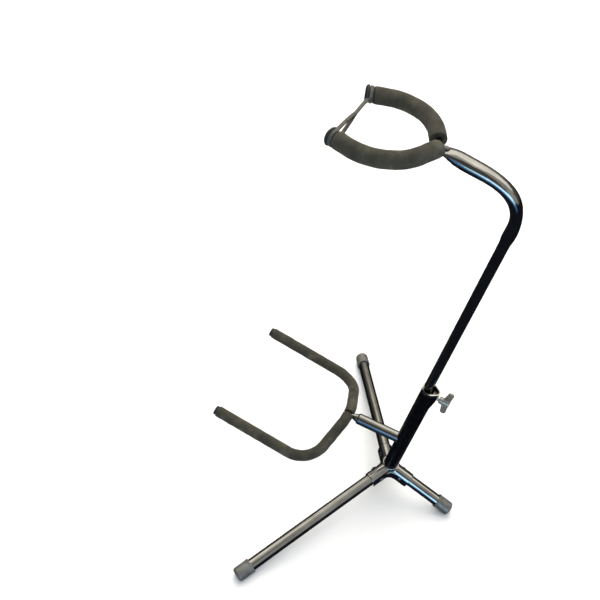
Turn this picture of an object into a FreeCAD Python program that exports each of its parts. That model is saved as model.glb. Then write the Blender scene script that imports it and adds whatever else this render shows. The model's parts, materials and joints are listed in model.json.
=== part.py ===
"""Folding tubular tripod guitar stand: one STEP file per physical piece, in millimetres.

Frame: +Z up, the guitar side faces -Y, the stand's own left is +X. The origin is on the floor,
at the centre of the stand's bounding box. Legs are spread and the neck is raised.
"""
import FreeCAD, Part
import math
import os

V = FreeCAD.Vector
Rotation = FreeCAD.Rotation
X = V(1, 0, 0)
Y = V(0, 1, 0)
Z = V(0, 0, 1)

# ---- driving dimensions ------------------------------------------------------------------
# Tripod
lean_deg = 10.65              # the upright leans back by this from vertical
leg_angle_deg = 74.1          # each leg's angle from the upright's downward axis
leg_spread_deg = 118.5        # front legs' angle round the upright, from the rear leg
front_leg_length = 313.8      # hub centre to the end of the foot cap
leg_r = 10.0
leg_wall = 1.2
pivot_reach = 26.0            # hub centre to a leg's rivet, along the leg
rivet_r = 3.0
rivet_head_r = 4.6
rivet_head_height = 1.8
root_plug_length = 26.0
# Foot caps
cap_r = 12.0
cap_length = 28.0
cap_end_wall = 6.0
cap_edge = 4.0                # rounding of the cap's end
cap_lip = 0.5                 # how far the lip stands out of the cap
cap_lip_length = 3.0
foot_flat = 0.6               # depth of the flat worn where the cap meets the floor
# Hub
arm_wall = 1.6
arm_gap = 0.4                 # side and roof clearance round a leg
arm_length = 44.0             # hub centre to the mouth of an arm
arm_skirt = 9.0               # how far an arm's sides reach below the leg's axis
web_r = 15.0                  # radius of the web between two arms
web_shoulder = 6.5            # web's height over the leg's axis
collar_wall = 1.9
collar_top = 8.0
collar_bottom = -12.0
hub_floor = 2.0
ring_height = 2.2
ring_edge = 0.8
bolt_r = 3.0
bolt_head_r = 5.5
bolt_head_height = 4.0
washer_r = 9.0
washer_height = 1.6
plug_length = 22.0
# Lower upright and its clamp
lower_r = 12.5
lower_wall = 1.2
lower_top = 231.5             # hub centre to the tube's top end
pocket_r = 7.0                # round back of the nut pocket
pocket_offset = 9.3           # pocket centre behind the tube's axis
pocket_full = 15.0            # height of the pocket's straight part, below the top
pocket_taper = 21.0           # height over which the pocket runs out
rim_wall = 0.7
rim_skirt = 4.0
rim_lip = 1.0
screw_drop = 12.5             # screw axis below the tube's top
nut_height = 13.0
nut_front = 7.6               # front face of the nut, behind the tube's axis
pad_r = 3.9
pad_gap = 0.1                 # pad to the upper tube
pad_length = 2.2
pad_bore_depth = 1.2
pad_saddle = 1.5              # how far the pad's edges reach round the upper tube
wing_hub_start = 19.7         # from the tube's axis
wing_hub_length = 17.5
wing_hub_r = 5.7
wing_span = 50.0
wing_thickness = 3.4
wing_tip_r = 4.8
wing_root = 4.5               # where a wing starts along its hub
wing_bore_depth = 11.0
# Upper tube, bend and neck
upper_r = 7.5
upper_wall = 1.2
slide_fit = 0.05              # radial clearance of every running fit
upper_bottom = 148.0          # hub centre to the tube's lower end
bend_corner = 624.0           # hub centre to where the two straight stretches would meet
bend_r = 51.0
neck_rise_deg = 16.3          # slope of the neck above horizontal
neck_length = 124.0           # bend corner to the yoke rod
neck_overhang = 5.0           # neck beyond the yoke rod
flare_start = 78.0            # below the bend corner
flare_length = 9.0
flare_ease = 0.5              # round stretch before the tube starts to widen
glide_length = 16.0
glide_head = 3.0
# Half widths of the flattened tube, across and deep, from the flare to the pinched end.
flare_half = (8.3, 8.4)
bend_start_half = (8.8, 8.4)
bend_mid_half = (10.4, 8.5)
bend_end_half = (11.6, 8.7)
neck_mid_half = (12.5, 9.2)
neck_end_half = (12.1, 8.2)
pinch_half = (10.6, 5.3)
pinch_start = 14.0            # behind the yoke rod
pinch_run = 11.0              # length over which the tube flattens to its pinched end
# Neck yoke
yoke_rod_r = 4.0
yoke_foam_r = 11.3
yoke_half_width = 82.2        # corner of the yoke's outline, sideways
yoke_corner_forward = 38.5
yoke_corner_rise = 3.7
yoke_tip_in = 23.2            # tips turn in by this
yoke_tip_forward = 68.5
yoke_tip_rise = 5.1
yoke_corner_r = 65.0
yoke_crown_r = 19.0
yoke_foam_ends = {"left": 1.0, "right": 13.0}   # each foam's end to the middle plane
foam_slot = 0.2               # clearance of the slot where a foam closes over the neck
yoke_rivet_r = 2.4
yoke_rivet_head_r = 4.2
yoke_rivet_head_height = 1.3
yoke_rivet_back = 9.5         # rivet's axis behind the yoke rod
knob_r = 12.0
knob_flange = 1.4
knob_groove_r = 8.6
knob_groove_length = 5.8
knob_dome_length = 5.2
knob_bore_depth = 8.0
strap_thickness = 2.8
strap_width = 5.2
strap_shoulder = 0.40         # share of the span where the slot starts to close
strap_split = 0.56            # share of the span that the slotted end takes
strap_slot_half = 5.4         # strands' centres from the middle, at the shoulder
# Cradle and its sleeve
sleeve_height = 85.0          # hub centre to the sleeve's axis, along the upright
sleeve_rise_deg = 7.5
sleeve_r = 9.5
sleeve_wall = 1.4
sleeve_reach = 82.0           # upright's axis to the sleeve's front end
bush_length = 14.0
bush_flange = 2.6
stem_r = 4.0
stem_nose_r = 6.6
stem_tip_r = 2.6
stem_tail = 24.0              # upright's axis to the stem's rear end
stem_nut_length = 5.0
stem_nut_r = 6.2
seat_length = 2.0
spring_r = 6.0
spring_wire_r = 0.7
spring_turns = 9
cradle_reach = 101.5          # upright's axis to the middle of the cradle rod
cradle_rod_r = 4.0
cradle_foam_r = 9.15
cradle_half_width = 99.4
cradle_corner_forward = 26.5
cradle_corner_drop = 32.2
cradle_arm_forward = 164.8
cradle_arm_rise = 47.8
cradle_corner_r = 47.0
cradle_crown_r = 58.0
cradle_foam_gap = 0.5
cradle_cap_r = 7.6
cradle_cap_length = 5.0
cradle_cap_edge = 2.0
cap_bore_depth = 4.0
# Reach of cutting shapes
clear = 60.0                  # beyond any part of the hub or clamp
huge = 1000.0                 # beyond the whole stand


# ---- geometry helpers --------------------------------------------------------------------
def unit(v):
    return v * (1.0 / v.Length)


def cylinder(r, start, end):
    return Part.makeCylinder(r, (end - start).Length, start, unit(end - start))


def tube(r_out, r_in, start, end):
    return cylinder(r_out, start, end).cut(cylinder(r_in, start, end))


def revolved(profile, origin, axis):
    """Solid of revolution from (distance along the axis, radius) points."""
    side = unit(axis.cross(X if abs(axis.x) < 0.9 else Y))
    points = [origin + axis * along + side * r for along, r in profile]
    face = Part.Face(Part.makePolygon(points + [points[0]]))
    return face.revolve(origin, axis, 360)


def rounded_post(r, edge, start, end):
    """Round bar with its far end rounded."""
    bar = cylinder(r, start, end)
    far = [e for e in bar.Edges if e.Closed and (e.CenterOfMass - end).Length < r * 0.1]
    return bar.makeFillet(edge, far)


def turn(points, radius):
    """Arc that rounds the middle one of three points: (start, centre, axis, degrees, end)."""
    a, corner, b = points
    back = unit(a - corner)
    ahead = unit(b - corner)
    angle = math.pi - back.getAngle(ahead)
    cut = radius * math.tan(angle / 2)
    start = corner + back * cut
    centre = corner + unit(back + ahead) * (radius / math.cos(angle / 2))
    axis = unit((start - centre).cross(back)) * -1.0
    return start, centre, axis, math.degrees(angle), corner + ahead * cut


def bent_bar(points, radii, r):
    """Round bar along straight runs joined by tangent arcs."""
    solids = []
    here = points[0]
    for i, radius in enumerate(radii):
        start, centre, axis, angle, end = turn(points[i:i + 3], radius)
        solids.append(cylinder(r, here, start))
        disc = Part.Face(Part.Wire(Part.makeCircle(r, start, unit(start - here))))
        solids.append(disc.revolve(centre, axis, angle))
        here = end
    solids.append(cylinder(r, here, points[-1]))
    return solids[0].multiFuse(solids[1:]).removeSplitter()


def bent_tube(points, radii, r_out, r_in):
    return bent_bar(points, radii, r_out).cut(bent_bar(points, radii, r_in))


def mirrored(v):
    return V(-v.x, v.y, v.z)


def crown_point(middle, shoulder, radius):
    """Corner whose rounding passes through middle, between a shoulder and its mirror image."""
    away = unit(V(0, middle.y - shoulder.y, middle.z - shoulder.z))
    depth = V(0, middle.y - shoulder.y, middle.z - shoulder.z).Length
    lift = 0.0
    for _ in range(40):
        slope = math.atan2(depth + lift, shoulder.x)
        lift = radius * (1 / math.cos(slope) - 1)
    return middle + away * lift


def half_space(sign, plane):
    """Large block on one side of the plane x = plane."""
    low = plane if sign > 0 else plane - huge
    return Part.makeBox(huge, 2 * huge, 2 * huge, V(low, -huge, -huge))


def teardrop(r, back_r, z0, z1):
    """Tube outline with a rounded pocket at its back, as an upright prism."""
    angle = math.acos((r - back_r) / pocket_offset)
    c = math.cos(angle)
    s = math.sin(angle)
    right = V(r * s, r * c, z0)
    left = V(-r * s, r * c, z0)
    back_right = V(back_r * s, pocket_offset + back_r * c, z0)
    back_left = V(-back_r * s, pocket_offset + back_r * c, z0)
    edges = [
        Part.Arc(left, V(0, -r, z0), right).toShape(),
        Part.makeLine(right, back_right),
        Part.Arc(back_right, V(0, pocket_offset + back_r, z0), back_left).toShape(),
        Part.makeLine(back_left, left),
    ]
    return Part.Face(Part.Wire(edges)).extrude(V(0, 0, z1 - z0))


def pocket(r, back_r, z1):
    """Teardrop prism at the tube's top whose back runs out downwards to the tube."""
    z_full = lower_top - pocket_full
    z_end = z_full - pocket_taper
    prism = teardrop(r, back_r, z_end, z1)
    back = pocket_offset + back_r
    points = [
        V(-r, back + 1, z_full),
        V(-r, back, z_full),
        V(-r, r - 0.01, z_end),
        V(-r, back + 1, z_end),
    ]
    wedge = Part.Face(Part.makePolygon(points + [points[0]])).extrude(V(2 * r, 0, 0))
    return prism.cut(wedge)


# ---- frames ------------------------------------------------------------------------------
lean = math.radians(lean_deg)
leg_angle = math.radians(leg_angle_deg)
up = V(0, math.sin(lean), math.cos(lean))
rear = V(0, math.cos(lean), -math.sin(lean))


def leg_direction(around_deg):
    """Direction of a leg, away from the hub, in the upright's own frame."""
    a = math.radians(around_deg)
    flat = math.sin(leg_angle)
    return V(flat * math.sin(a), flat * math.cos(a), -math.cos(leg_angle))


def to_world(v):
    return X * v.x + rear * v.y + up * v.z


def end_height(direction):
    """Height of a foot cap's end centre when its flat is on the floor."""
    sink = -direction.z
    level = math.sqrt(1 - sink * sink)
    return (cap_r - cap_edge) * level + cap_edge - cap_edge * sink - foot_flat


legs = {"left": leg_spread_deg, "right": -leg_spread_deg, "rear": 0.0}
front_dir = to_world(leg_direction(leg_spread_deg))
hub_height = end_height(front_dir) - front_leg_length * front_dir.z
hub_centre = V(0, 0, hub_height)
upright = FreeCAD.Placement(hub_centre, Rotation(X, -lean_deg))


def leg_length(around_deg):
    direction = to_world(leg_direction(around_deg))
    return (hub_height - end_height(direction)) / -direction.z


def placed(shape):
    """Moves a shape from the upright's own frame, origin at the hub centre, into the stand's."""
    out = shape.copy()
    out.transformShape(upright.toMatrix(), True)
    return out


def leg_frame(around_deg):
    """Local axes of a leg: along it, across it (the rivet's axis), and its upper side."""
    along = leg_direction(around_deg)
    across = unit(V(math.cos(math.radians(around_deg)), -math.sin(math.radians(around_deg)), 0))
    return along, across, across.cross(along)


# ---- hub ---------------------------------------------------------------------------------
arm_in = leg_r + arm_gap
arm_out = arm_in + arm_wall
collar_r = lower_r + slide_fit + collar_wall


def channel(around_deg, half, start, end, skirt):
    """Inverted U prism round a leg's axis."""
    along, across, over = leg_frame(around_deg)
    if over.z < 0:
        over = over * -1.0
    o = along * start
    points = [o + across * half, o + over * half, o - across * half]
    low = [o - across * half - over * skirt, o + across * half - over * skirt]
    edges = [
        Part.Arc(*points).toShape(),
        Part.makeLine(points[2], low[0]),
        Part.makeLine(low[0], low[1]),
        Part.makeLine(low[1], points[0]),
    ]
    return Part.Face(Part.Wire(edges)).extrude(along * (end - start))


def web(first_deg, second_deg):
    """Filled corner between two arms, with a hollow round edge."""
    half_turn = math.radians((second_deg - first_deg) / 2)
    middle = math.radians((second_deg + first_deg) / 2)
    reach = (arm_out + web_r) / math.sin(half_turn)
    centre = V(reach * math.sin(middle), reach * math.cos(middle), 0)
    foot = math.sqrt(reach ** 2 - (arm_out + web_r) ** 2)
    corners = [V(0, 0, 0)]
    for deg in (first_deg, second_deg):
        a = math.radians(deg)
        corners.append(V(foot * math.sin(a), foot * math.cos(a), 0))
    wedge = Part.Face(Part.makePolygon([corners[0], corners[1], centre, corners[2], corners[0]]))
    slab = wedge.extrude(V(0, 0, 2 * clear))
    slab.translate(V(0, 0, -clear))
    round_edge = cylinder(web_r, V(centre.x, centre.y, -clear), V(centre.x, centre.y, clear))
    slope = 1 / math.tan(leg_angle)
    roof = [V(0, 0, web_shoulder), V(2 * reach, 0, web_shoulder - 2 * reach * slope)]
    floor = [V(2 * reach, 0, -arm_skirt - 2 * reach * slope), V(0, 0, -arm_skirt)]
    section = Part.Face(Part.makePolygon(roof + floor + [roof[0]]))
    cone = section.revolve(V(0, 0, 0), Z, 360)
    return slab.cut(round_edge).common(cone)


def make_hub():
    floor_z = collar_bottom + hub_floor
    angles = sorted(a % 360 for a in legs.values())
    body = cylinder(collar_r, V(0, 0, collar_bottom), V(0, 0, collar_top))
    outer = [channel(a, arm_out, 0.0, arm_length, arm_skirt) for a in angles]
    webs = [web(a, b if b > a else b + 360) for a, b in zip(angles, angles[1:] + angles[:1])]
    for piece in outer + webs:
        body = body.fuse(piece)
    core = cylinder(collar_r, V(0, 0, collar_bottom - clear), V(0, 0, collar_top))
    for a in angles:
        inner = channel(a, arm_in, 0.0, arm_length + clear, arm_skirt + clear)
        body = body.cut(inner.cut(core))
    body = body.cut(cylinder(lower_r, V(0, 0, floor_z), V(0, 0, collar_top + clear)))
    body = body.cut(cylinder(collar_r, V(0, 0, collar_top), V(0, 0, collar_top + clear)))
    body = body.cut(cylinder(bolt_r, V(0, 0, collar_bottom - clear), V(0, 0, floor_z)))
    body = body.cut(cylinder(collar_r, V(0, 0, collar_bottom - clear), V(0, 0, collar_bottom)))
    for a in angles:
        along, across, _ = leg_frame(a)
        pivot = along * pivot_reach
        body = body.cut(cylinder(rivet_r, pivot - across * clear, pivot + across * clear))
    return max(body.removeSplitter().Solids, key=lambda s: s.Volume)


def make_collar_ring():
    r_in = lower_r
    r_out = collar_r
    z0 = collar_top
    ring = tube(r_out, r_in, V(0, 0, z0), V(0, 0, z0 + ring_height))
    top = [e for e in ring.Edges if e.Closed and e.CenterOfMass.z > z0 + ring_height - 0.01]
    return ring.makeFillet(ring_edge, top)


def make_tube_plug():
    r = lower_r - lower_wall
    z0 = collar_bottom + hub_floor
    plug = cylinder(r, V(0, 0, z0), V(0, 0, z0 + plug_length))
    return plug.cut(cylinder(bolt_r, V(0, 0, z0), V(0, 0, z0 + plug_length - 4)))


def make_hub_washer():
    top = V(0, 0, collar_bottom)
    return tube(washer_r, bolt_r, top - Z * washer_height, top)


def hexagon(r, base, height):
    points = []
    for i in range(7):
        a = math.radians(60 * i)
        points.append(base + V(r * math.cos(a), r * math.sin(a), 0))
    return Part.Face(Part.makePolygon(points)).extrude(V(0, 0, height))


def make_hub_bolt():
    head_top = V(0, 0, collar_bottom - washer_height)
    tip = V(0, 0, collar_bottom + hub_floor + plug_length - 6)
    head = hexagon(bolt_head_r, head_top - Z * bolt_head_height, bolt_head_height)
    return head.fuse(cylinder(bolt_r, head_top, tip)).removeSplitter()


# ---- legs --------------------------------------------------------------------------------
def make_leg_tube(around_deg):
    along, across, _ = leg_frame(around_deg)
    pivot = along * pivot_reach
    tip = along * (leg_length(around_deg) - cap_end_wall)
    bar = tube(leg_r, leg_r - leg_wall, pivot, tip)
    root = tube(leg_r, leg_r - leg_wall, along * (pivot_reach - leg_r), pivot)
    root = root.common(Part.makeSphere(leg_r, pivot))
    hole = cylinder(rivet_r + slide_fit, pivot - across * clear, pivot + across * clear)
    return bar.fuse(root).removeSplitter().cut(hole)


def make_root_plug(around_deg):
    along, across, _ = leg_frame(around_deg)
    pivot = along * pivot_reach
    r = leg_r - leg_wall
    root = along * (pivot_reach - leg_r)
    plug = cylinder(r, root, root + along * root_plug_length)
    front = cylinder(leg_r, pivot, along * (pivot_reach + root_plug_length))
    limit = front.fuse(Part.makeSphere(leg_r, pivot))
    hole = cylinder(rivet_r + slide_fit, pivot - across * clear, pivot + across * clear)
    return plug.common(limit).cut(hole)


def make_rivet(around_deg):
    along, across, _ = leg_frame(around_deg)
    pivot = along * pivot_reach
    half = arm_out
    profile = [
        (-half - rivet_head_height, 0),
        (-half - rivet_head_height, rivet_head_r * 0.55),
        (-half - rivet_head_height * 0.55, rivet_head_r * 0.88),
        (-half, rivet_head_r),
        (-half, rivet_r),
        (half, rivet_r),
        (half, rivet_head_r),
        (half + rivet_head_height * 0.55, rivet_head_r * 0.88),
        (half + rivet_head_height, rivet_head_r * 0.55),
        (half + rivet_head_height, 0),
    ]
    return revolved(profile, pivot, across)


def make_foot_cap(around_deg):
    """Rubber cap in the stand's frame, with its flat on the floor."""
    along = to_world(leg_direction(around_deg))
    end = hub_centre + along * leg_length(around_deg)
    start = end - along * cap_length
    cap = rounded_post(cap_r, cap_edge, start, end)
    lip = cylinder(cap_r + cap_lip, start, start + along * cap_lip_length)
    cap = cap.fuse(lip).removeSplitter()
    cap = cap.cut(cylinder(leg_r, start, end - along * cap_end_wall))
    below = Part.makeBox(2 * huge, 2 * huge, clear, V(-huge, -huge, -clear))
    return cap.cut(below)


# ---- lower upright and clamp -------------------------------------------------------------
lower_in = lower_r - lower_wall
pocket_in = pocket_r - lower_wall
upper_offset = lower_in - upper_r - slide_fit      # the inner tube rides on the front wall
upper_axis = V(0, -upper_offset, 0)
screw_z = lower_top - screw_drop


def make_lower_tube():
    base = V(0, 0, collar_bottom + hub_floor)
    top = V(0, 0, lower_top)
    outer = cylinder(lower_r, base, top).fuse(pocket(lower_r, pocket_r, lower_top))
    inner = cylinder(lower_in, base, top).fuse(pocket(lower_in, pocket_in, lower_top))
    hole = cylinder(bolt_r + 0.6, V(0, lower_r, screw_z), V(0, clear, screw_z))
    return outer.removeSplitter().cut(inner.removeSplitter()).cut(hole)


def make_clamp_rim():
    z0 = lower_top - rim_skirt
    z1 = lower_top + rim_lip
    rim = teardrop(lower_r + rim_wall, pocket_r + rim_wall, z0, z1)
    rim = rim.cut(teardrop(lower_r, pocket_r, z0, lower_top))
    return rim.cut(teardrop(lower_in, pocket_in, lower_top, z1))


def make_clamp_nut():
    z0 = screw_z - nut_height / 2
    block = pocket(lower_in, pocket_in, z0 + nut_height)
    block = block.common(Part.makeBox(2 * pocket_in, clear, nut_height, V(-pocket_in, nut_front, z0)))
    hole = cylinder(bolt_r + slide_fit, V(0, 0, screw_z), V(0, clear, screw_z))
    return block.cut(hole)


def make_clamp_pad():
    back = upper_r - upper_offset + pad_gap
    end = back + pad_length
    pad = cylinder(pad_r, V(0, back - pad_saddle, screw_z), V(0, end, screw_z))
    saddle = cylinder(upper_r + pad_gap, upper_axis, upper_axis + Z * huge)
    bore_start = V(0, end - pad_bore_depth, screw_z)
    return pad.cut(saddle).cut(cylinder(bolt_r + slide_fit, bore_start, V(0, clear, screw_z)))


def make_clamp_screw():
    tip = upper_r - upper_offset + pad_gap + pad_length - pad_bore_depth
    return cylinder(bolt_r, V(0, tip, screw_z), V(0, wing_hub_start + wing_bore_depth, screw_z))


def make_wing_head():
    end = wing_hub_start + wing_hub_length
    hub = rounded_post(wing_hub_r, 1.2, V(0, wing_hub_start, screw_z), V(0, end, screw_z))
    tip_y = end - wing_tip_r + 0.6
    tip_z = wing_span / 2 - wing_tip_r
    solids = []
    for sign in (1, -1):
        points = [
            V(0, wing_hub_start + wing_root, 0),
            V(0, tip_y - wing_tip_r, sign * (tip_z - 1)),
            V(0, tip_y, sign * (tip_z + wing_tip_r)),
            V(0, tip_y + wing_tip_r, sign * tip_z),
            V(0, end - 1.0, 0),
        ]
        edges = [
            Part.makeLine(points[0], points[1]),
            Part.Arc(points[1], points[2], points[3]).toShape(),
            Part.makeLine(points[3], points[4]),
            Part.makeLine(points[4], points[0]),
        ]
        wing = Part.Face(Part.Wire(edges)).extrude(V(wing_thickness, 0, 0))
        wing.translate(V(-wing_thickness / 2, 0, screw_z))
        solids.append(wing)
    head = hub.multiFuse(solids).removeSplitter()
    bore_end = V(0, wing_hub_start + wing_bore_depth, screw_z)
    return head.cut(cylinder(bolt_r, V(0, wing_hub_start - 1, screw_z), bore_end))


# ---- upper tube, bend and neck -----------------------------------------------------------
neck_rise = math.radians(neck_rise_deg)
corner = hub_centre + rear * -upper_offset + up * bend_corner
neck_dir = V(0, -math.cos(neck_rise), math.sin(neck_rise))
bend_turn = up.getAngle(neck_dir)
bend_cut = bend_r * math.tan(bend_turn / 2)
bend_centre = corner - up * bend_cut + unit(neck_dir - up * up.dot(neck_dir)) * bend_r
yoke_middle = corner + neck_dir * neck_length


def neck_section(half, thinner, centre, normal):
    """Ellipse across the flattened tube, thinner by the wall for the inside."""
    wide = X * (half[0] - thinner)
    deep = X.cross(normal) * (half[1] - thinner)
    frame = FreeCAD.Matrix(
        wide.x, deep.x, normal.x, centre.x,
        wide.y, deep.y, normal.y, centre.y,
        wide.z, deep.z, normal.z, centre.z,
    )
    return Part.Wire(Part.makeCircle(1.0).transformGeometry(frame))


def neck_loft(thinner, overrun):
    """Flared, bent and flattened top of the upper tube, as a solid."""
    round_half = (upper_r, upper_r)
    below_bend = (
        (flare_start + overrun, round_half),
        (flare_start - flare_ease, round_half),
        (flare_start - flare_length, flare_half),
    )
    sections = [neck_section(half, thinner, corner - up * below, up) for below, half in below_bend]
    bend_start = corner - up * bend_cut - bend_centre
    for share, half in ((0.0, bend_start_half), (0.5, bend_mid_half), (1.0, bend_end_half)):
        turned = Rotation(X, math.degrees(bend_turn) * share)
        centre = bend_centre + turned.multVec(bend_start)
        sections.append(neck_section(half, thinner, centre, turned.multVec(up)))
    straight = neck_length - bend_cut
    past_bend = (
        (bend_cut + straight * 0.45, neck_mid_half),
        (neck_length - pinch_start - pinch_run, neck_end_half),
        (neck_length - pinch_start, pinch_half),
        (neck_length + neck_overhang + overrun, pinch_half),
    )
    for along, half in past_bend:
        sections.append(neck_section(half, thinner, corner + neck_dir * along, neck_dir))
    return Part.makeLoft(sections, True, False)


def make_upper_tube():
    low = hub_centre + rear * -upper_offset + up * upper_bottom
    join = corner - up * flare_start
    bar = tube(upper_r, upper_r - upper_wall, low, join)
    neck = neck_loft(0.0, 0.0).cut(neck_loft(upper_wall, 1.0))
    body = bar.fuse(neck)
    body = body.cut(yoke_bar(yoke_rod_r))
    return max(body.cut(yoke_rivet_hole(yoke_rivet_r)).Solids, key=lambda s: s.Volume)


def make_glide_bush():
    low = hub_centre + rear * -upper_offset + up * upper_bottom
    r = upper_r - upper_wall - slide_fit
    head = cylinder(upper_r, low - up * glide_head, low)
    return head.fuse(cylinder(r, low, low + up * (glide_length - glide_head))).removeSplitter()


# ---- yoke --------------------------------------------------------------------------------
neck_normal = X.cross(neck_dir)
yoke_shoulder = yoke_middle + V(yoke_half_width, -yoke_corner_forward, yoke_corner_rise)
yoke_tip = yoke_shoulder + V(-yoke_tip_in, -yoke_tip_forward, yoke_tip_rise)
yoke_crown = crown_point(yoke_middle, yoke_shoulder, yoke_crown_r)
yoke_tip_dir = unit(yoke_tip - yoke_shoulder)
yoke_radii = [yoke_corner_r, yoke_crown_r, yoke_corner_r]


def yoke_path(extra):
    tip = yoke_tip + yoke_tip_dir * extra
    return [mirrored(tip), mirrored(yoke_shoulder), yoke_crown, yoke_shoulder, tip]


def yoke_bar(r):
    return bent_bar(yoke_path(knob_bore_depth), yoke_radii, r)


yoke_rivet_middle = yoke_middle - neck_dir * yoke_rivet_back


def yoke_rivet_hole(r):
    half = neck_normal * clear
    return cylinder(r, yoke_rivet_middle - half, yoke_rivet_middle + half)


def neck_slot():
    """Room for the pinched end of the neck in the foam that closes over it."""
    start = yoke_middle - neck_dir * pinch_start
    end = yoke_middle + neck_dir * (neck_overhang + foam_slot)
    return Part.Face(neck_section(pinch_half, -foam_slot, start, neck_dir)).extrude(end - start)


def make_yoke_foam(side, sign):
    foam = bent_tube(yoke_path(0.0), yoke_radii, yoke_foam_r, yoke_rod_r)
    foam = foam.common(half_space(sign, sign * yoke_foam_ends[side]))
    foam = foam.cut(neck_slot()).cut(yoke_rivet_hole(yoke_rivet_head_r + foam_slot))
    return max(foam.Solids, key=lambda s: s.Volume)


def make_yoke_rivet():
    top = pinch_half[1] + 0.1
    high = top + yoke_rivet_head_height
    head = [(top, yoke_rivet_r), (top, yoke_rivet_head_r), (high, yoke_rivet_head_r * 0.6), (high, 0)]
    foot = [(-along, r) for along, r in reversed(head)]
    return revolved(foot + head, yoke_rivet_middle, neck_normal)


def make_knob(sign):
    groove = knob_flange + knob_groove_length
    end = groove + knob_dome_length
    profile = [
        (0, 0),
        (0, knob_r - 1.2),
        (knob_flange, knob_r - 1.2),
        (knob_flange, knob_groove_r),
        (groove, knob_groove_r),
        (groove, knob_r - 0.6),
        (groove + 1.0, knob_r),
        (end - 2.4, knob_r),
        (end - 0.8, knob_r - 1.8),
        (end, knob_r - 5.0),
        (end, 0),
    ]
    origin = yoke_tip if sign > 0 else mirrored(yoke_tip)
    axis = yoke_tip_dir if sign > 0 else mirrored(yoke_tip_dir)
    bore = cylinder(yoke_rod_r, origin, origin + axis * knob_bore_depth)
    return revolved(profile, origin, axis).cut(bore)


def flat_bar(a, b, width_dir):
    """Flat strip of the strap's section between two points."""
    along = unit(b - a)
    wide = unit(width_dir - along * along.dot(width_dir)) * (strap_width / 2)
    thick = unit(along.cross(wide)) * (strap_thickness / 2)
    points = [a + wide + thick, a - wide + thick, a - wide - thick, a + wide - thick]
    return Part.Face(Part.makePolygon(points + [points[0]])).extrude(b - a)


def make_strap():
    middle = knob_flange + knob_groove_length / 2
    left = yoke_tip + yoke_tip_dir * middle
    right = mirrored(left)
    reach = knob_groove_r + strap_thickness / 2
    solids = []
    for centre, axis in ((left, yoke_tip_dir), (right, mirrored(yoke_tip_dir))):
        half = axis * (strap_width / 2)
        solids.append(tube(knob_groove_r + strap_thickness, knob_groove_r, centre - half, centre + half))
    split = left + (right - left) * strap_split
    side = unit(right - left)
    over = unit(side.cross(yoke_tip_dir))
    solids.append(flat_bar(split - side, right + V(reach, 0, 0), Y))
    shoulder = left + (right - left) * strap_shoulder
    for sign in (1, -1):
        bow = shoulder + over * (sign * strap_slot_half)
        solids.append(flat_bar(left + over * (sign * reach), bow + side * 0.5, Y))
        solids.append(flat_bar(bow, split, Y))
    strap = solids[0].multiFuse(solids[1:]).removeSplitter()
    return strap.cut(make_knob(1)).cut(make_knob(-1))


# ---- cradle and sleeve -------------------------------------------------------------------
sleeve_rise = math.radians(sleeve_rise_deg)
sleeve_root = hub_centre + up * sleeve_height
sleeve_dir = V(0, -math.cos(sleeve_rise), math.sin(sleeve_rise))
cradle_middle = sleeve_root + sleeve_dir * cradle_reach
cradle_shoulder = cradle_middle + V(cradle_half_width, -cradle_corner_forward, -cradle_corner_drop)
cradle_tip = cradle_shoulder + V(0, -cradle_arm_forward, cradle_arm_rise)
cradle_tip_dir = unit(cradle_tip - cradle_shoulder)
cradle_crown = crown_point(cradle_middle, cradle_shoulder, cradle_crown_r)
cradle_radii = [cradle_corner_r, cradle_crown_r, cradle_corner_r]
sleeve_in = sleeve_r - sleeve_wall
cone_start = sleeve_reach + bush_flange + 0.3


def on_sleeve(distance):
    return sleeve_root + sleeve_dir * distance


def cradle_path(extra):
    tip = cradle_tip + cradle_tip_dir * extra
    return [mirrored(tip), mirrored(cradle_shoulder), cradle_crown, cradle_shoulder, tip]


def upright_bar():
    return cylinder(lower_r, hub_centre, hub_centre + up * lower_top)


def make_sleeve():
    sleeve = tube(sleeve_r, sleeve_in, on_sleeve(0), on_sleeve(sleeve_reach))
    return max(sleeve.cut(upright_bar()).Solids, key=lambda s: s.Volume)


def make_bush():
    front = sleeve_reach
    end = front + bush_flange
    profile = [
        (front - bush_length, stem_r + slide_fit),
        (front - bush_length, sleeve_in),
        (front, sleeve_in),
        (front, sleeve_r - 0.4),
        (end - 0.8, sleeve_r - 0.4),
        (end, sleeve_r - 1.4),
        (end, stem_r + slide_fit),
    ]
    return revolved(profile, sleeve_root, sleeve_dir)


def stem_cone():
    tip = cradle_reach - cradle_rod_r * 0.5
    profile = [
        (cone_start, 0),
        (cone_start, stem_nose_r),
        (cone_start + 1.5, stem_nose_r),
        (tip, stem_tip_r),
        (tip, 0),
    ]
    return revolved(profile, sleeve_root, sleeve_dir)


def make_stem():
    body = stem_cone().fuse(cylinder(stem_r, on_sleeve(stem_tail), on_sleeve(cone_start)))
    rod = bent_bar(cradle_path(0), cradle_radii, cradle_rod_r)
    return max(body.removeSplitter().cut(rod).Solids, key=lambda s: s.Volume)


def make_stem_nut():
    start = on_sleeve(stem_tail)
    nut = cylinder(stem_nut_r, start, start + sleeve_dir * stem_nut_length)
    return nut.cut(cylinder(stem_r, start, start + sleeve_dir * stem_nut_length))


def make_spring_seat():
    start = on_sleeve(stem_tail + stem_nut_length)
    return tube(sleeve_in - 0.3, stem_r + slide_fit, start, start + sleeve_dir * seat_length)


def make_spring():
    start = stem_tail + stem_nut_length + seat_length + spring_wire_r
    end = sleeve_reach - bush_length - spring_wire_r
    helix = Part.makeHelix((end - start) / spring_turns, end - start, spring_r)
    wire = Part.Wire(Part.makeCircle(spring_wire_r, V(spring_r, 0, 0), Y))
    coil = Part.Wire(helix).makePipeShell([wire], True, True)
    turned = FreeCAD.Placement(on_sleeve(start), Rotation(Z, sleeve_dir))
    coil.transformShape(turned.toMatrix(), True)
    return coil


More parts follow.
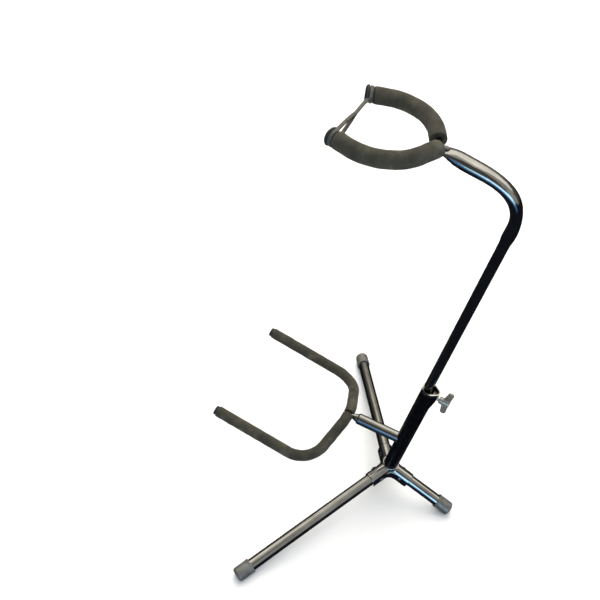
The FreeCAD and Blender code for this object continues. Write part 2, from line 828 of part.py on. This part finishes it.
def make_cradle_rod():
    return bent_bar(cradle_path(cap_bore_depth), cradle_radii, cradle_rod_r)


def make_cradle_foam(sign):
    foam = bent_tube(cradle_path(0.0), cradle_radii, cradle_foam_r, cradle_rod_r)
    return foam.common(half_space(sign, sign * cradle_foam_gap)).cut(stem_cone())


def make_cradle_cap(sign):
    origin = cradle_tip if sign > 0 else mirrored(cradle_tip)
    axis = cradle_tip_dir if sign > 0 else mirrored(cradle_tip_dir)
    cap = rounded_post(cradle_cap_r, cradle_cap_edge, origin, origin + axis * cradle_cap_length)
    return cap.cut(cylinder(cradle_rod_r, origin, origin + axis * cap_bore_depth))


# ---- all pieces --------------------------------------------------------------------------
nodes = {
    "hub_shell": placed(make_hub()),
    "hub_collar_ring": placed(make_collar_ring()),
    "hub_washer": placed(make_hub_washer()),
    "hub_bolt": placed(make_hub_bolt()),
    "tube_bottom_plug": placed(make_tube_plug()),
    "lower_tube": placed(make_lower_tube()),
    "clamp_rim": placed(make_clamp_rim()),
    "clamp_nut": placed(make_clamp_nut()),
    "clamp_pad": placed(make_clamp_pad()),
    "clamp_screw": placed(make_clamp_screw()),
    "wing_head": placed(make_wing_head()),
    "upper_tube": make_upper_tube(),
    "glide_bush": make_glide_bush(),
    "yoke_rod": yoke_bar(yoke_rod_r),
    "yoke_rivet": make_yoke_rivet(),
    "retaining_strap": make_strap(),
    "cradle_sleeve": make_sleeve(),
    "cradle_bush": make_bush(),
    "cradle_stem": make_stem(),
    "stem_nut": make_stem_nut(),
    "spring_seat": make_spring_seat(),
    "cradle_spring": make_spring(),
    "cradle_rod": make_cradle_rod(),
}
for side, sign in (("left", 1), ("right", -1)):
    nodes["yoke_foam_" + side] = make_yoke_foam(side, sign)
    nodes["yoke_knob_" + side] = make_knob(sign)
    nodes["cradle_foam_" + side] = make_cradle_foam(sign)
    nodes["cradle_cap_" + side] = make_cradle_cap(sign)
for side, around in legs.items():
    nodes["leg_tube_" + side] = placed(make_leg_tube(around))
    nodes["leg_root_plug_" + side] = placed(make_root_plug(around))
    nodes["leg_rivet_" + side] = placed(make_rivet(around))
    nodes["foot_cap_" + side] = make_foot_cap(around)

boxes = [shape.optimalBoundingBox(False, False) for shape in nodes.values()]
centre_shift = V(0, -(min(b.YMin for b in boxes) + max(b.YMax for b in boxes)) / 2, 0)
os.makedirs("parts", exist_ok=True)
for name, shape in nodes.items():
    shape.translate(centre_shift)
    shape.exportStep("parts/" + name + ".step")
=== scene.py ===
"""Look of the folding tripod guitar stand: finishes, foam, rubber and cast pieces over the fixed frame."""

import json
import math
import random

import bmesh
import bpy
from mathutils import Matrix, Vector


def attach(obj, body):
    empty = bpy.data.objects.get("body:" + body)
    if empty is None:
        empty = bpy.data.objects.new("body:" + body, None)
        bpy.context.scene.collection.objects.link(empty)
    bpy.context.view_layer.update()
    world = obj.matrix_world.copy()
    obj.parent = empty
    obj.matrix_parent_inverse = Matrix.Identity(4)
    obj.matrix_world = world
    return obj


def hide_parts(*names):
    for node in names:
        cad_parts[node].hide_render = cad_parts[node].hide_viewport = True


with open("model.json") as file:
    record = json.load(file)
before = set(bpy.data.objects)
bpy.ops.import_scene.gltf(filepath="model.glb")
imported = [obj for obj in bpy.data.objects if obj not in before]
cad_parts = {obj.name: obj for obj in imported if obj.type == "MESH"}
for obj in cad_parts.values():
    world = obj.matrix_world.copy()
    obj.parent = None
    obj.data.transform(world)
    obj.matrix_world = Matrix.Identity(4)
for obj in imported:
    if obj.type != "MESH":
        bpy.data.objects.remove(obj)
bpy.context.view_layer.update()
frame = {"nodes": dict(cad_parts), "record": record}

MM = 0.001

# ---- lines of the stand, in millimetres in the stand's frame --------------------------------
yoke_shoulder = Vector((82.2, 33.783, 720.846))
yoke_tip = Vector((59.0, -34.717, 725.946))
yoke_crown = Vector((0.0, 74.494, 716.934))
yoke_radii = (65.0, 19.0)             # corner, crown
yoke_rod_r = 4.0
yoke_foam_r = 11.3
yoke_foam_ends = (1.0, 13.0)          # left and right foam, from the middle plane
cradle_shoulder = Vector((99.4, -31.76, 132.984))
cradle_tip = Vector((99.4, -196.56, 180.784))
cradle_crown = Vector((0.0, -1.163, 170.161))
cradle_radii = (47.0, 58.0)
cradle_rod_r = 4.0
cradle_foam_r = 9.15
cradle_foam_start = 0.5
knob_groove_r = 8.6
strap_thickness = 2.8
strap_width = 5.2
strap_centre = 4.3                    # knob's inner face to the middle of its groove
strap_shoulder = 0.40
strap_split = 0.56
strap_slot_half = 5.4
strap_lean_in = 4.0                   # degrees by which the loop goes past a half turn at each end
strap_overlap = 0.6                   # how far the strand sinks into the right-hand ring
strap_section_sides = 12
strap_loop_count = 28
strap_ring_count = 36
strap_strand_count = 24
strap_stem_count = 12
strap_voxel = 0.45
strap_smoothing = 6


def mirrored(v):
    return Vector((-v.x, v.y, v.z))


# ---- mesh helpers -------------------------------------------------------------------------
def new_piece(name, vertices, faces):
    """Mesh object from points in millimetres, shaded smooth."""
    mesh = bpy.data.meshes.new(name)
    mesh.from_pydata([v * MM for v in vertices], [], faces)
    mesh.validate()
    piece = bpy.data.objects.new(name, mesh)
    bpy.context.scene.collection.objects.link(piece)
    b = bmesh.new()
    b.from_mesh(mesh)
    bmesh.ops.recalc_face_normals(b, faces=b.faces)
    b.to_mesh(mesh)
    b.free()
    mesh.shade_smooth()
    return piece


def modified(piece, kind, **settings):
    """Adds one modifier and applies it to the mesh."""
    modifier = piece.modifiers.new(kind.lower(), kind)
    for key, value in settings.items():
        setattr(modifier, key, value)
    graph = bpy.context.evaluated_depsgraph_get()
    mesh = bpy.data.meshes.new_from_object(piece.evaluated_get(graph))
    piece.modifiers.clear()
    piece.data = mesh
    return piece


def rounded_path(points, radii, step):
    """Points and directions every step along straight runs joined by tangent arcs."""
    stations = []

    def run(a, b):
        count = max(2, round((b - a).length / step))
        for i in range(count):
            stations.append((a.lerp(b, i / count), (b - a).normalized()))

    here = points[0]
    for a, corner, b, radius in zip(points, points[1:], points[2:], radii):
        back = (a - corner).normalized()
        ahead = (b - corner).normalized()
        angle = math.pi - back.angle(ahead)
        cut = radius * math.tan(angle / 2)
        start = corner + back * cut
        centre = corner + (back + ahead).normalized() * (radius / math.cos(angle / 2))
        axis = (-back).cross(ahead).normalized()
        run(here, start)
        count = max(4, round(radius * angle / step))
        for i in range(count):
            turn = Matrix.Rotation(angle * i / count, 3, axis)
            stations.append((centre + turn @ (start - centre), turn @ -back))
        here = corner + ahead * cut
    run(here, points[-1])
    stations.append((points[-1], (points[-1] - here).normalized()))
    return stations


def rings_to_faces(ring_count, size, first=0):
    faces = []
    for i in range(ring_count - 1):
        for j in range(size):
            k = (j + 1) % size
            a = first + i * size
            faces.append((a + j, a + k, a + size + k, a + size + j))
    return faces


def ring(centre, direction, radius, size, wobble=None):
    """Round section; wobble gives a change of radius for each angle."""
    side = direction.cross(Vector((0, 0, 1)))
    if side.length < 0.1:
        side = direction.cross(Vector((0, 1, 0)))
    side.normalize()
    over = side.cross(direction).normalized()
    points = []
    for j in range(size):
        a = 2 * math.pi * j / size
        r = radius + (wobble(a) if wobble else 0.0)
        points.append(centre + side * (r * math.cos(a)) + over * (r * math.sin(a)))
    return points


# ---- foam sleeves -------------------------------------------------------------------------
foam_edge = 1.4                       # rounding of a sleeve's cut ends
foam_sides = 40
foam_step = 2.0
foam_edge_steps = 5
foam_margin = 0.5                     # least distance from a rounded end to the next ring
foam_wave_count = 6
foam_wave_lengths = (14, 60)
foam_wave_phase = 6.28
foam_wave_height = 0.06


def half_path(crown, shoulder, tip, radii, start):
    """Centre line from the middle plane out to the tip, on the +X side."""
    corner_r, crown_r = radii
    points = [mirrored(shoulder), crown, shoulder, tip]
    stations = rounded_path(points, (crown_r, corner_r), foam_step)
    return [s for s in stations if s[0].x >= start]


def foam_sleeve(name, stations, outer, bore, seed):
    """Soft tube over a rod, a little uneven, with rounded cut ends."""
    draw = random.Random(seed)
    waves = [(draw.uniform(*foam_wave_lengths), draw.uniform(0, foam_wave_phase), draw.randint(1, 3))
             for _ in range(foam_wave_count)]
    lengths = [0.0]
    for (a, _), (b, _) in zip(stations, stations[1:]):
        lengths.append(lengths[-1] + (b - a).length)
    total = lengths[-1]
    vertices = []
    rings = 0

    def uneven(s):
        def wobble(a):
            value = 0.0
            for wave, phase, folds in waves:
                value += math.sin(2 * math.pi * s / wave + phase + folds * a)
            return foam_wave_height * value
        return wobble

    def at(s):
        for (p, d), (q, e), low, high in zip(stations, stations[1:], lengths, lengths[1:]):
            if s <= high + 1e-9:
                t = (s - low) / (high - low)
                return p.lerp(q, t), d.lerp(e, t).normalized()
        return stations[-1]

    quarter = [i * math.pi / (2 * foam_edge_steps) for i in range(foam_edge_steps + 1)]
    marks = [(foam_edge * (1 - math.cos(a)), foam_edge * (1 - math.sin(a))) for a in quarter]
    inner = [s for s in lengths if foam_edge + foam_margin < s < total - foam_edge - foam_margin]
    outline = [(s, outer - drop) for s, drop in marks]
    outline += [(s, outer) for s in inner]
    outline += [(total - s, outer - drop) for s, drop in reversed(marks)]
    outline = [(0.0, bore)] + outline + [(total, bore)]
    for s, r in outline:
        centre, direction = at(s)
        bumps = uneven(s) if r > bore + foam_margin else None
        vertices += ring(centre, direction, r, foam_sides, bumps)
        rings += 1
    for s in reversed(inner):
        centre, direction = at(s)
        vertices += ring(centre, direction, bore, foam_sides)
        rings += 1
    faces = rings_to_faces(rings, foam_sides)
    last = (rings - 1) * foam_sides
    for j in range(foam_sides):
        k = (j + 1) % foam_sides
        faces.append((last + j, last + k, k, j))
    return new_piece(name, vertices, faces)


# ---- pieces rebuilt from the frame's own shapes ---------------------------------------------
def softened(name, node, voxel, rounds):
    """Copy of a CAD node with its edges rounded, as cast, pressed or moulded pieces have."""
    source = frame["nodes"][node]
    piece = bpy.data.objects.new(name, source.data.copy())
    bpy.context.scene.collection.objects.link(piece)
    modified(piece, "REMESH", mode="VOXEL", voxel_size=voxel * MM)
    modified(piece, "SMOOTH", factor=0.5, iterations=rounds)
    piece.data.materials.clear()
    piece.data.shade_smooth()
    return piece


def strap_piece():
    """Moulded strap: a ring at one knob and a slotted loop at the other."""
    tip_dir = (yoke_tip - yoke_shoulder).normalized()
    left = yoke_tip + tip_dir * strap_centre
    right = mirrored(left)
    reach = knob_groove_r + strap_thickness / 2
    split = left.lerp(right, strap_split)
    side = (right - left).normalized()
    vertices = []
    faces = []

    def sweep(points, wide_axis, closed):
        """Rounded flat section swept along points, wide along wide_axis."""
        size = strap_section_sides
        first = len(vertices)
        count = len(points)
        for i, p in enumerate(points):
            before = points[i - 1] if i or closed else p
            after = points[(i + 1) % count] if i + 1 < count or closed else p
            along = (after - before).normalized()
            wide = (wide_axis - along * along.dot(wide_axis)).normalized()
            thick = along.cross(wide)
            for j in range(size):
                a = 2 * math.pi * (j + 0.5) / size
                x = math.copysign(abs(math.cos(a)) ** 0.6, math.cos(a)) * strap_width / 2
                y = math.copysign(abs(math.sin(a)) ** 0.7, math.sin(a)) * strap_thickness / 2
                vertices.append(p + wide * x + thick * y)
        faces.extend(rings_to_faces(count, size, first))
        if closed:
            last = first + (count - 1) * size
            for j in range(size):
                k = (j + 1) % size
                faces.append((last + j, last + k, first + k, first + j))
        else:
            faces.append(tuple(range(first + size - 1, first - 1, -1)))
            faces.append(tuple(range(first + (count - 1) * size, first + count * size)))

    def circle(centre, axis, start_dir, degrees, count):
        flat = (start_dir - axis * axis.dot(start_dir)).normalized()
        return [centre + Matrix.Rotation(math.radians(degrees * i / count), 3, axis) @ flat * reach
                for i in range(count + 1)]

    across = side.cross(tip_dir).normalized()
    loop_degrees = 180 + 2 * strap_lean_in

    def far_loop(turn):
        """Loop round the left knob, turning one way (1) or the other (-1)."""
        first_turn = Matrix.Rotation(math.radians(-turn * strap_lean_in), 3, tip_dir)
        return circle(left, tip_dir * turn, first_turn @ -across, loop_degrees, strap_loop_count)

    loop = far_loop(1)
    if (loop[strap_loop_count // 2] - left).dot(side) > 0:
        loop = far_loop(-1)
    shoulder = left.lerp(right, strap_shoulder)

    def strand(end):
        """Points from the split round the slot's shoulder to one end of the loop."""
        away = (end - left).dot(across)
        bow = shoulder + across * math.copysign(strap_slot_half, away)
        points = []
        for i in range(strap_strand_count):
            t = i / strap_strand_count
            points.append(split * (1 - t) ** 2 + bow * (2 * t * (1 - t)) + end * t ** 2)
        return points

    sweep(strand(loop[0]) + loop + strand(loop[-1])[:0:-1], tip_dir, True)
    sweep(circle(right, mirrored(tip_dir), across, 360, strap_ring_count)[:-1], mirrored(tip_dir), True)
    near_ring = right - side * (reach - strap_overlap)
    stem_places = range(-1, strap_stem_count + 1)
    sweep([split.lerp(near_ring, i / strap_stem_count) for i in stem_places], tip_dir, False)
    piece = new_piece("strap_moulded", vertices, faces)
    modified(piece, "REMESH", mode="VOXEL", voxel_size=strap_voxel * MM)
    modified(piece, "SMOOTH", factor=0.5, iterations=strap_smoothing)
    piece.data.shade_smooth()
    return piece


# ---- materials ----------------------------------------------------------------------------
def node(tree, kind, **settings):
    made = tree.nodes.new(kind)
    for key, value in settings.items():
        if key in made.inputs:
            made.inputs[key].default_value = value
        else:
            setattr(made, key, value)
    return made


def new_material(name, base, rough, metal=0.0, **sockets):
    material = bpy.data.materials.new(name)
    material.use_nodes = True
    tree = material.node_tree
    shader = tree.nodes["Principled BSDF"]
    shader.inputs["Base Color"].default_value = (*base, 1)
    shader.inputs["Roughness"].default_value = rough
    shader.inputs["Metallic"].default_value = metal
    for key, value in sockets.items():
        shader.inputs[key.replace("_", " ")].default_value = value
    return material, tree, shader


def position(tree):
    return tree.nodes.new("ShaderNodeTexCoord").outputs["Object"]


def noise(tree, scale, detail=4.0, roughness=0.5, distortion=0.0):
    texture = node(tree, "ShaderNodeTexNoise", Scale=scale, Detail=detail,
                   Roughness=roughness, Distortion=distortion)
    tree.links.new(position(tree), texture.inputs["Vector"])
    return texture.outputs["Fac"]


def ramp(tree, value, stops):
    made = tree.nodes.new("ShaderNodeValToRGB")
    elements = made.color_ramp.elements
    while len(elements) < len(stops):
        elements.new(0.5)
    for element, (place, colour) in zip(elements, stops):
        element.position = place
        element.color = (*colour, 1)
    tree.links.new(value, made.inputs["Fac"])
    return made.outputs["Color"]


def spread(tree, value, low, high, from_low=0.3, from_high=0.7):
    made = node(tree, "ShaderNodeMapRange")
    made.inputs["From Min"].default_value = from_low
    made.inputs["From Max"].default_value = from_high
    made.inputs["To Min"].default_value = low
    made.inputs["To Max"].default_value = high
    tree.links.new(value, made.inputs["Value"])
    return made.outputs["Result"]


def bump(tree, shader, value, distance, strength=1.0):
    made = node(tree, "ShaderNodeBump", Strength=strength, Distance=distance * MM)
    tree.links.new(value, made.inputs["Height"])
    tree.links.new(made.outputs["Normal"], shader.inputs["Normal"])


def plated(name, dark, light, rough_low, rough_high, metal=1.0, **sockets):
    """Plated metal: clouded tone, faint polishing haze and a trace of surface ripple."""
    material, tree, shader = new_material(name, light, rough_low, metal, **sockets)
    tone = ramp(tree, noise(tree, 38.0, 6.0), [(0.32, dark), (0.68, light)])
    tree.links.new(tone, shader.inputs["Base Color"])
    haze = spread(tree, noise(tree, 120.0, 8.0, 0.65), rough_low, rough_high)
    tree.links.new(haze, shader.inputs["Roughness"])
    bump(tree, shader, noise(tree, 24.0, 1.0), 0.03, 0.12)
    return material


def moulded(name, dark, light, rough_low, rough_high, grain, depth, metal=0.0, **sockets):
    """Rubber or plastic: fine grain, mottled tone and uneven sheen."""
    material, tree, shader = new_material(name, light, rough_low, metal, **sockets)
    tone = ramp(tree, noise(tree, 60.0, 8.0, 0.6), [(0.3, dark), (0.7, light)])
    tree.links.new(tone, shader.inputs["Base Color"])
    tree.links.new(spread(tree, noise(tree, 90.0, 5.0), rough_low, rough_high), shader.inputs["Roughness"])
    bump(tree, shader, noise(tree, grain, 4.0, 0.6), depth, 0.6)
    return material


def foam_material():
    """Closed-cell foam: mottled brown-grey skin with fine cells."""
    material, tree, shader = new_material("foam_skin", (0.05, 0.047, 0.04), 0.9)
    shader.inputs["Sheen Weight"].default_value = 0.08
    shader.inputs["Sheen Roughness"].default_value = 0.5
    shader.inputs["Sheen Tint"].default_value = (0.62, 0.66, 0.75, 1)
    shader.inputs["Specular IOR Level"].default_value = 0.25
    clouds = ramp(tree, noise(tree, 45.0, 9.0, 0.62), [
        (0.3, (0.026, 0.024, 0.018)),
        (0.55, (0.050, 0.046, 0.034)),
        (0.74, (0.098, 0.089, 0.065)),
    ])
    tree.links.new(clouds, shader.inputs["Base Color"])
    cells = node(tree, "ShaderNodeTexVoronoi", Scale=900.0, feature="F1")
    tree.links.new(position(tree), cells.inputs["Vector"])
    mix = node(tree, "ShaderNodeMath", operation="ADD")
    tree.links.new(cells.outputs["Distance"], mix.inputs[0])
    tree.links.new(noise(tree, 260.0, 6.0, 0.7), mix.inputs[1])
    bump(tree, shader, mix.outputs["Value"], 0.35, 0.8)
    tree.links.new(spread(tree, noise(tree, 70.0, 4.0), 0.78, 0.97), shader.inputs["Roughness"])
    return material


finishes = {
    "black_chrome": plated("black_chrome_plate", (0.36, 0.35, 0.34), (0.48, 0.47, 0.455), 0.06, 0.14),
    "bright_chrome": plated("bright_chrome_plate", (0.55, 0.54, 0.52), (0.72, 0.71, 0.68), 0.07, 0.18),
    "cast_zinc": plated("cast_zinc_satin", (0.32, 0.30, 0.26), (0.46, 0.44, 0.385), 0.12, 0.30, 0.68),
    "steel": plated("zinc_steel", (0.22, 0.22, 0.22), (0.34, 0.34, 0.33), 0.22, 0.42),
    "rod_steel": plated("rod_steel_dark", (0.05, 0.05, 0.05), (0.11, 0.11, 0.11), 0.28, 0.45),
    "gloss_black": moulded("gloss_black_paint", (0.0012, 0.0013, 0.002), (0.003, 0.0033, 0.0045),
                           0.10, 0.22, 700.0, 0.03, Specular_IOR_Level=0.35),
    "grey_rubber": moulded("grey_rubber_cap", (0.12, 0.117, 0.11), (0.22, 0.213, 0.20),
                           0.24, 0.44, 800.0, 0.12, 0.45, Specular_IOR_Level=0.7),
    "strap_rubber": moulded("strap_rubber_dark", (0.042, 0.039, 0.033), (0.095, 0.089, 0.075),
                            0.24, 0.42, 900.0, 0.08, Specular_IOR_Level=0.5),
    "black_plastic": moulded("black_plastic_moulded", (0.012, 0.012, 0.013), (0.028, 0.028, 0.030),
                             0.32, 0.5, 700.0, 0.08, Specular_IOR_Level=0.45),
    "foam": foam_material(),
}


# ---- carried-over CAD nodes ---------------------------------------------------------------
sharp_angle = 32                      # degrees between faces above which an edge stays sharp
slots = {part["node"]: part["material_slot"] for part in frame["record"]["subparts"]}
for name, piece in frame["nodes"].items():
    piece.data.materials.clear()
    piece.data.materials.append(finishes[slots[name]])
    piece.data.shade_smooth()
    piece.data.set_sharp_from_angle(angle=math.radians(sharp_angle))

# ---- new pieces ---------------------------------------------------------------------------
bodies = {n: b for b, members in frame["record"]["behaviour"]["bodies"].items() for n in members}


def place(piece, cad_node, finish):
    """Gives a new piece its finish in a material slot and its body, and hides the CAD node that it stands
    for.
    """
    piece.data.materials.append(finishes[finish])
    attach(piece, bodies[cad_node])
    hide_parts(cad_node)


def mirror_stations(stations):
    return [(mirrored(p), mirrored(d)) for p, d in stations]


yoke_lines = [half_path(yoke_crown, yoke_shoulder, yoke_tip, yoke_radii, end) for end in yoke_foam_ends]
cradle_line = half_path(cradle_crown, cradle_shoulder, cradle_tip, cradle_radii, cradle_foam_start)
sleeves = (
    ("yoke_foam_left", yoke_lines[0], yoke_foam_r, yoke_rod_r, 3),
    ("yoke_foam_right", mirror_stations(yoke_lines[1]), yoke_foam_r, yoke_rod_r, 5),
    ("cradle_foam_left", cradle_line, cradle_foam_r, cradle_rod_r, 7),
    ("cradle_foam_right", mirror_stations(cradle_line), cradle_foam_r, cradle_rod_r, 9),
)
for cad_node, stations, outer, bore, seed in sleeves:
    sleeve = foam_sleeve(cad_node + "_soft", stations, outer, bore, seed)
    place(sleeve, cad_node, "foam")

softened_nodes = (
    ("hub_shell", 0.8, 5, "black_chrome"),
    ("wing_head", 0.45, 7, "cast_zinc"),
    ("foot_cap_left", 0.6, 5, "grey_rubber"),
    ("foot_cap_right", 0.6, 5, "grey_rubber"),
    ("foot_cap_rear", 0.6, 5, "grey_rubber"),
    ("yoke_knob_left", 0.45, 5, "black_plastic"),
    ("yoke_knob_right", 0.45, 5, "black_plastic"),
)
for cad_node, voxel, rounds, finish in softened_nodes:
    place(softened(cad_node + "_soft", cad_node, voxel, rounds), cad_node, finish)
place(strap_piece(), "retaining_strap", "strap_rubber")

# ---- floor, light and camera --------------------------------------------------------------
floor_half = 7000.0
floor_drop = 0.05                     # keeps the floor from fighting with the caps' flat feet
floor_material, floor_tree, floor_shader = new_material("studio_floor", (0.86, 0.86, 0.865), 0.9)
floor_shader.inputs["Specular IOR Level"].default_value = 0.1
floor_corners = [Vector((x * floor_half, y * floor_half, -floor_drop))
                 for x, y in ((-1, -1), (1, -1), (1, 1), (-1, 1))]
floor = new_piece("studio_floor", floor_corners, [(0, 1, 2, 3)])
floor.data.materials.append(floor_material)
floor.visible_glossy = False

# Pale wall all round, seen by the camera only: light and reflections pass through it.
wall_material, wall_tree, wall_shader = new_material("studio_wall", (0.0, 0.0, 0.0), 1.0)
wall_shader.inputs["Emission Color"].default_value = (0.93, 0.93, 0.94, 1)
wall_shader.inputs["Emission Strength"].default_value = 0.9
wall_shader.inputs["Specular IOR Level"].default_value = 0.0
wall_sides = 48
wall_radius = 6500.0
wall_heights = (-2500.0, 0.0, 7000.0)
wall_rings = []
for height in wall_heights:
    for i in range(wall_sides):
        turn = 2 * math.pi * i / wall_sides
        wall_rings.append(Vector((wall_radius * math.cos(turn), wall_radius * math.sin(turn), height)))
wall_faces = rings_to_faces(len(wall_heights), wall_sides)
wall_faces.append(tuple(range(len(wall_rings) - wall_sides, len(wall_rings))))
wall = new_piece("studio_wall", wall_rings, wall_faces)
wall.data.materials.append(wall_material)
wall.visible_glossy = False
wall.visible_diffuse = False
wall.visible_shadow = False
wall.visible_transmission = False


def area_light(name, place_at, aim, width, height, power, colour):
    data = bpy.data.lights.new(name, "AREA")
    data.shape = "RECTANGLE"
    data.size = width
    data.size_y = height
    data.energy = power
    data.color = colour
    lamp = bpy.data.objects.new(name, data)
    bpy.context.scene.collection.objects.link(lamp)
    lamp.location = place_at
    lamp.rotation_euler = (Vector(aim) - Vector(place_at)).to_track_quat("-Z", "Y").to_euler()
    lamp.visible_glossy = False


# Name, place, aim, width, height, power and colour.
area_light("ceiling_warm", (-1.5, -0.5, 2.5), (0.0, 0.0, 0.2), 2.4, 3.6, 86.0, (1.0, 0.965, 0.91))
area_light("ceiling_cool", (1.1, 0.3, 3.0), (0.0, 0.0, 0.2), 0.7, 3.0, 46.0, (0.95, 0.97, 1.0))
area_light("window_side", (2.8, 1.0, 0.85), (0.0, 0.0, 0.45), 3.2, 0.8, 15.0, (0.38, 0.62, 1.0))

# A dim room with a lit ceiling and a low blue window, so that plated metal has something to mirror.
world = bpy.data.worlds.new("studio_world")
world.use_nodes = True
room = world.node_tree
heading = room.nodes.new("ShaderNodeSeparateXYZ")
room.links.new(room.nodes.new("ShaderNodeTexCoord").outputs["Generated"], heading.inputs["Vector"])


def angle_round(facing):
    """Angle round the vertical, from +X (facing 1) or from -X (facing -1)."""
    x = node(room, "ShaderNodeMath", operation="MULTIPLY")
    room.links.new(heading.outputs["X"], x.inputs[0])
    x.inputs[1].default_value = facing
    angle = node(room, "ShaderNodeMath", operation="ARCTAN2")
    room.links.new(heading.outputs["Y"], angle.inputs[0])
    room.links.new(x.outputs["Value"], angle.inputs[1])
    return angle.outputs["Value"]


def between(value, low, high, soft):
    """1 between two values, falling to 0 over a soft width on each side."""
    made = node(room, "ShaderNodeMath", operation="MULTIPLY")
    for i, (start, end) in enumerate(((low - soft, low), (high + soft, high))):
        edge = node(room, "ShaderNodeMapRange", interpolation_type="SMOOTHSTEP")
        edge.inputs["From Min"].default_value = start
        edge.inputs["From Max"].default_value = end
        room.links.new(value, edge.inputs["Value"])
        room.links.new(edge.outputs["Result"], made.inputs[i])
    return made.outputs["Value"]


walls = ramp(room, heading.outputs["Z"], [
    (0.0, (0.012, 0.014, 0.020)),
    (0.03, (0.06, 0.055, 0.045)),
    (0.3, (0.13, 0.12, 0.10)),
    (0.75, (0.09, 0.085, 0.07)),
    (0.92, (0.13, 0.12, 0.10)),
    (0.985, (0.60, 0.59, 0.53)),
])
climb = node(room, "ShaderNodeMath", operation="ARCSINE")
room.links.new(heading.outputs["Z"], climb.inputs[0])
glows = (
    # facing, angles round and soft edge, angles up and soft edge, colour
    (-1, -70, 62, 22, 37, 71, 11, (1.34, 1.29, 1.14)),        # lit ceiling
    (-1, -40, 8, 22, 14, 30, 10, (0.26, 0.25, 0.21)),         # wall below it
    (1, 58, 96, 12, 8, 72, 10, (0.32, 0.33, 0.32)),           # pale wall
    (1, -8, 48, 16, -14, 18, 12, (0.09, 0.28, 0.60)),         # blue round the window
    (1, 8, 42, 12, -4, 13, 6, (1.15, 1.75, 1.95)),            # window
)
for facing, *degrees, colour in glows:
    start, end, soft, low, high, soft_height = (math.radians(angle) for angle in degrees)
    across_sky = between(angle_round(facing), start, end, soft)
    up_sky = between(climb.outputs["Value"], low, high, soft_height)
    both = node(room, "ShaderNodeMath", operation="MULTIPLY")
    room.links.new(across_sky, both.inputs[0])
    room.links.new(up_sky, both.inputs[1])
    glow = node(room, "ShaderNodeVectorMath", operation="SCALE")
    glow.inputs[0].default_value = colour
    room.links.new(both.outputs["Value"], glow.inputs["Scale"])
    total = node(room, "ShaderNodeVectorMath", operation="ADD")
    room.links.new(walls, total.inputs[0])
    room.links.new(glow.outputs["Vector"], total.inputs[1])
    walls = total.outputs["Vector"]
room.links.new(walls, room.nodes["Background"].inputs["Color"])
room.nodes["Background"].inputs["Strength"].default_value = 1.0
bpy.context.scene.world = world
bpy.context.scene.view_settings.view_transform = "Standard"

# The camera's place, and its right-hand and viewing directions.
camera_place = (0.8256, 0.2678, 1.254)
camera_right = (-0.3702, 0.9249, 0.0867)
camera_forward = (-0.6855, -0.2090, -0.6975)
camera_data = bpy.data.cameras.new("camera")
camera_data.sensor_width = 36.0
camera_data.lens = 49.295
camera_data.shift_x = -0.1217
camera_data.shift_y = 0.0212
camera = bpy.data.objects.new("camera", camera_data)
bpy.context.scene.collection.objects.link(camera)
right = Vector(camera_right).normalized()
forward = Vector(camera_forward).normalized()
up = right.cross(forward).normalized()
turned = Matrix((right, up, -forward)).transposed().to_4x4()
camera.matrix_world = Matrix.Translation(camera_place) @ turned
bpy.context.scene.camera = camera
